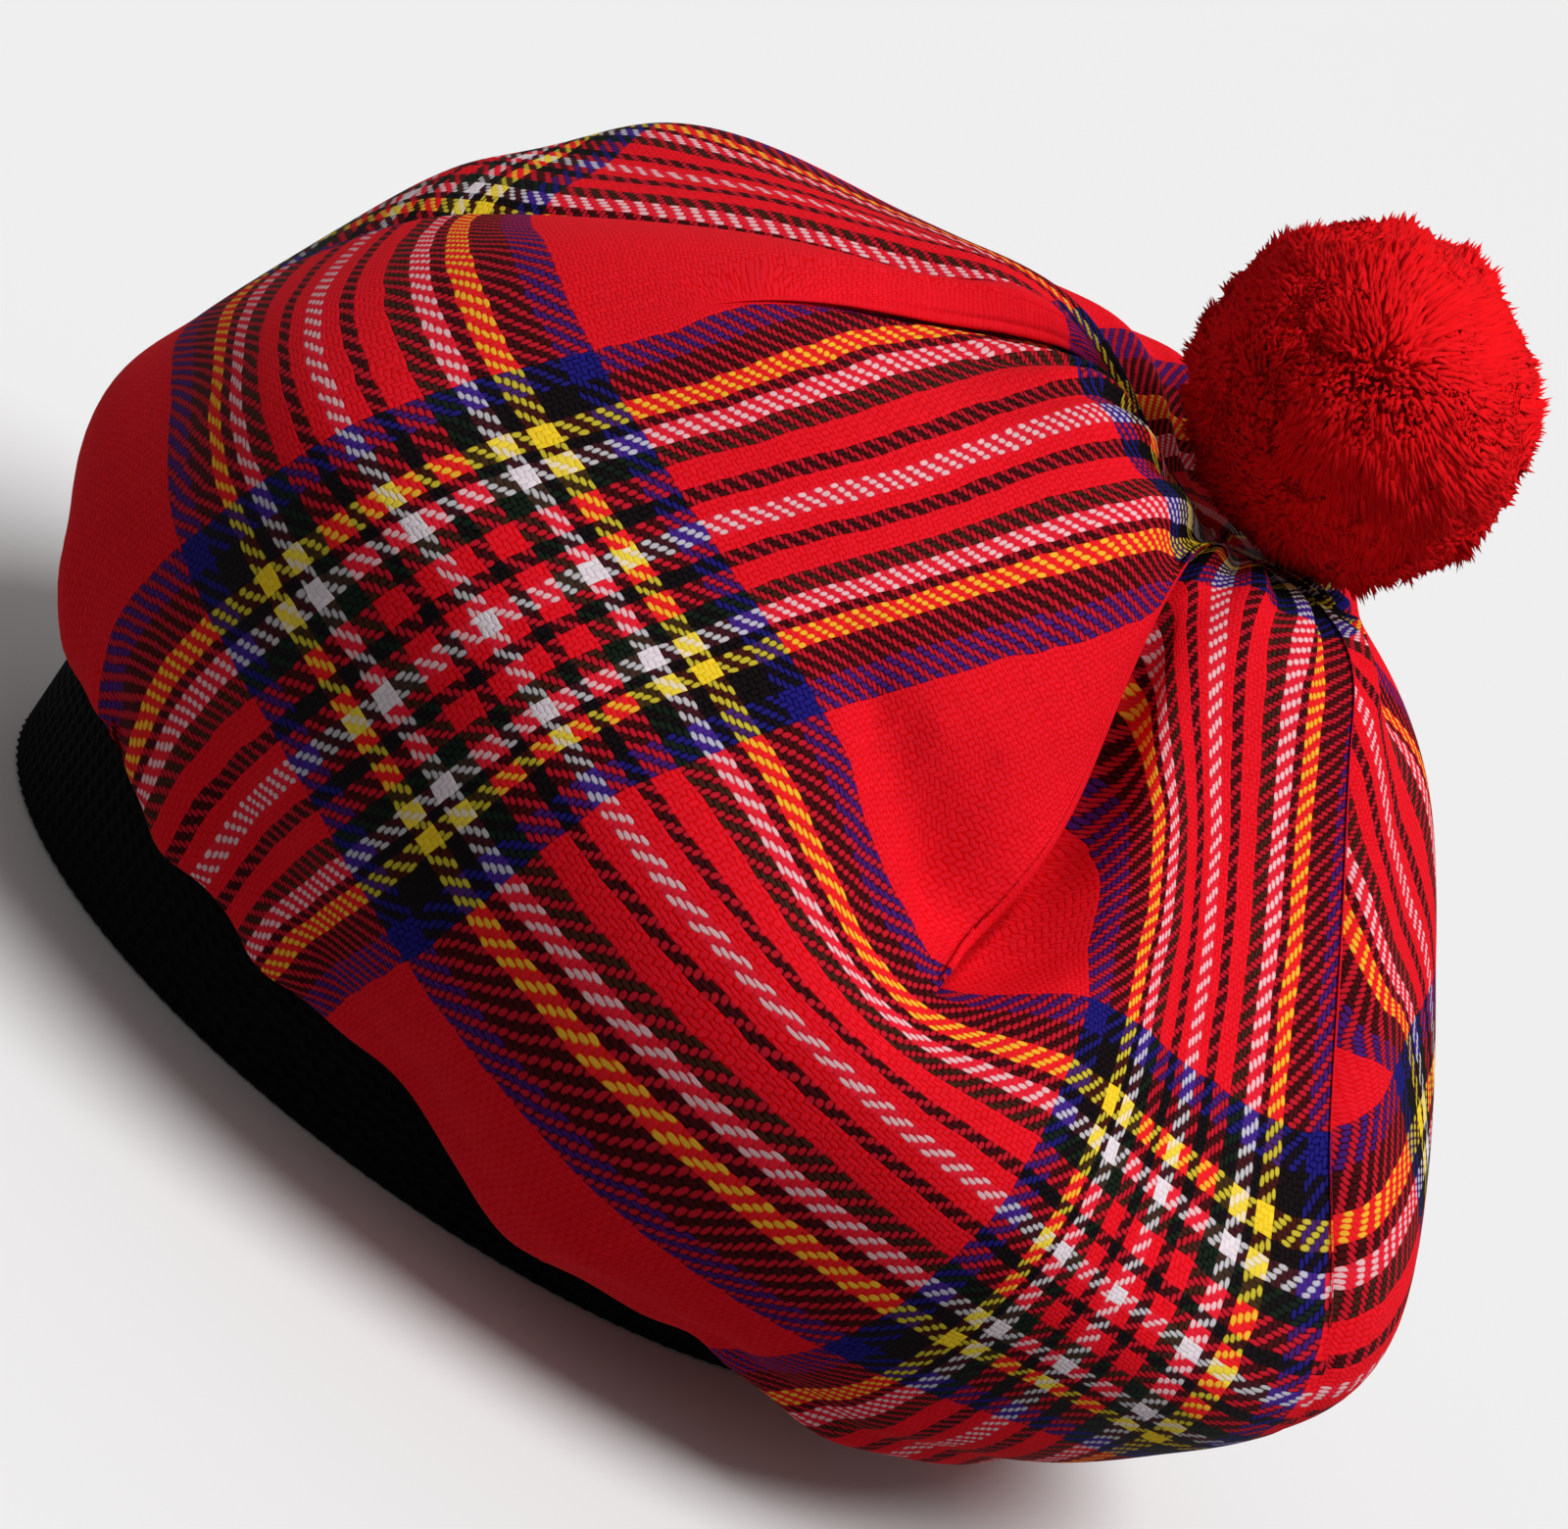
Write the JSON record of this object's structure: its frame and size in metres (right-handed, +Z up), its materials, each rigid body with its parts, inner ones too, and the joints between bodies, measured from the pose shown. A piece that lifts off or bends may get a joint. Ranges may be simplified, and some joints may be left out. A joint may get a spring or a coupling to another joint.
{
  "type": "tam o shanter hat",
  "caption": "Soft round hat: a full tartan crown drawn in under a wool pompom, gathered onto a ribbed knit headband, with an open hollow for the head.",
  "frame": {"origin": "on the surface that the hat stands on, under the middle of the whole hat", "axes": "+X towards the side that the crown droops to, -Y towards the front, +Z up"},
  "size_m": [0.2626, 0.2224, 0.2091],
  "materials": {
    "tartan_cloth": "matt twill woven in red, black, dark green, white, yellow and blue",
    "rib_knit": "matt black rib knit",
    "pompom_wool": "fluffy cut red yarn"
  },
  "bodies": {
    "root": {"tartan_crown": "tartan_cloth", "rib_headband": "rib_knit", "pompom": "pompom_wool"}
  },
  "joints": []
}
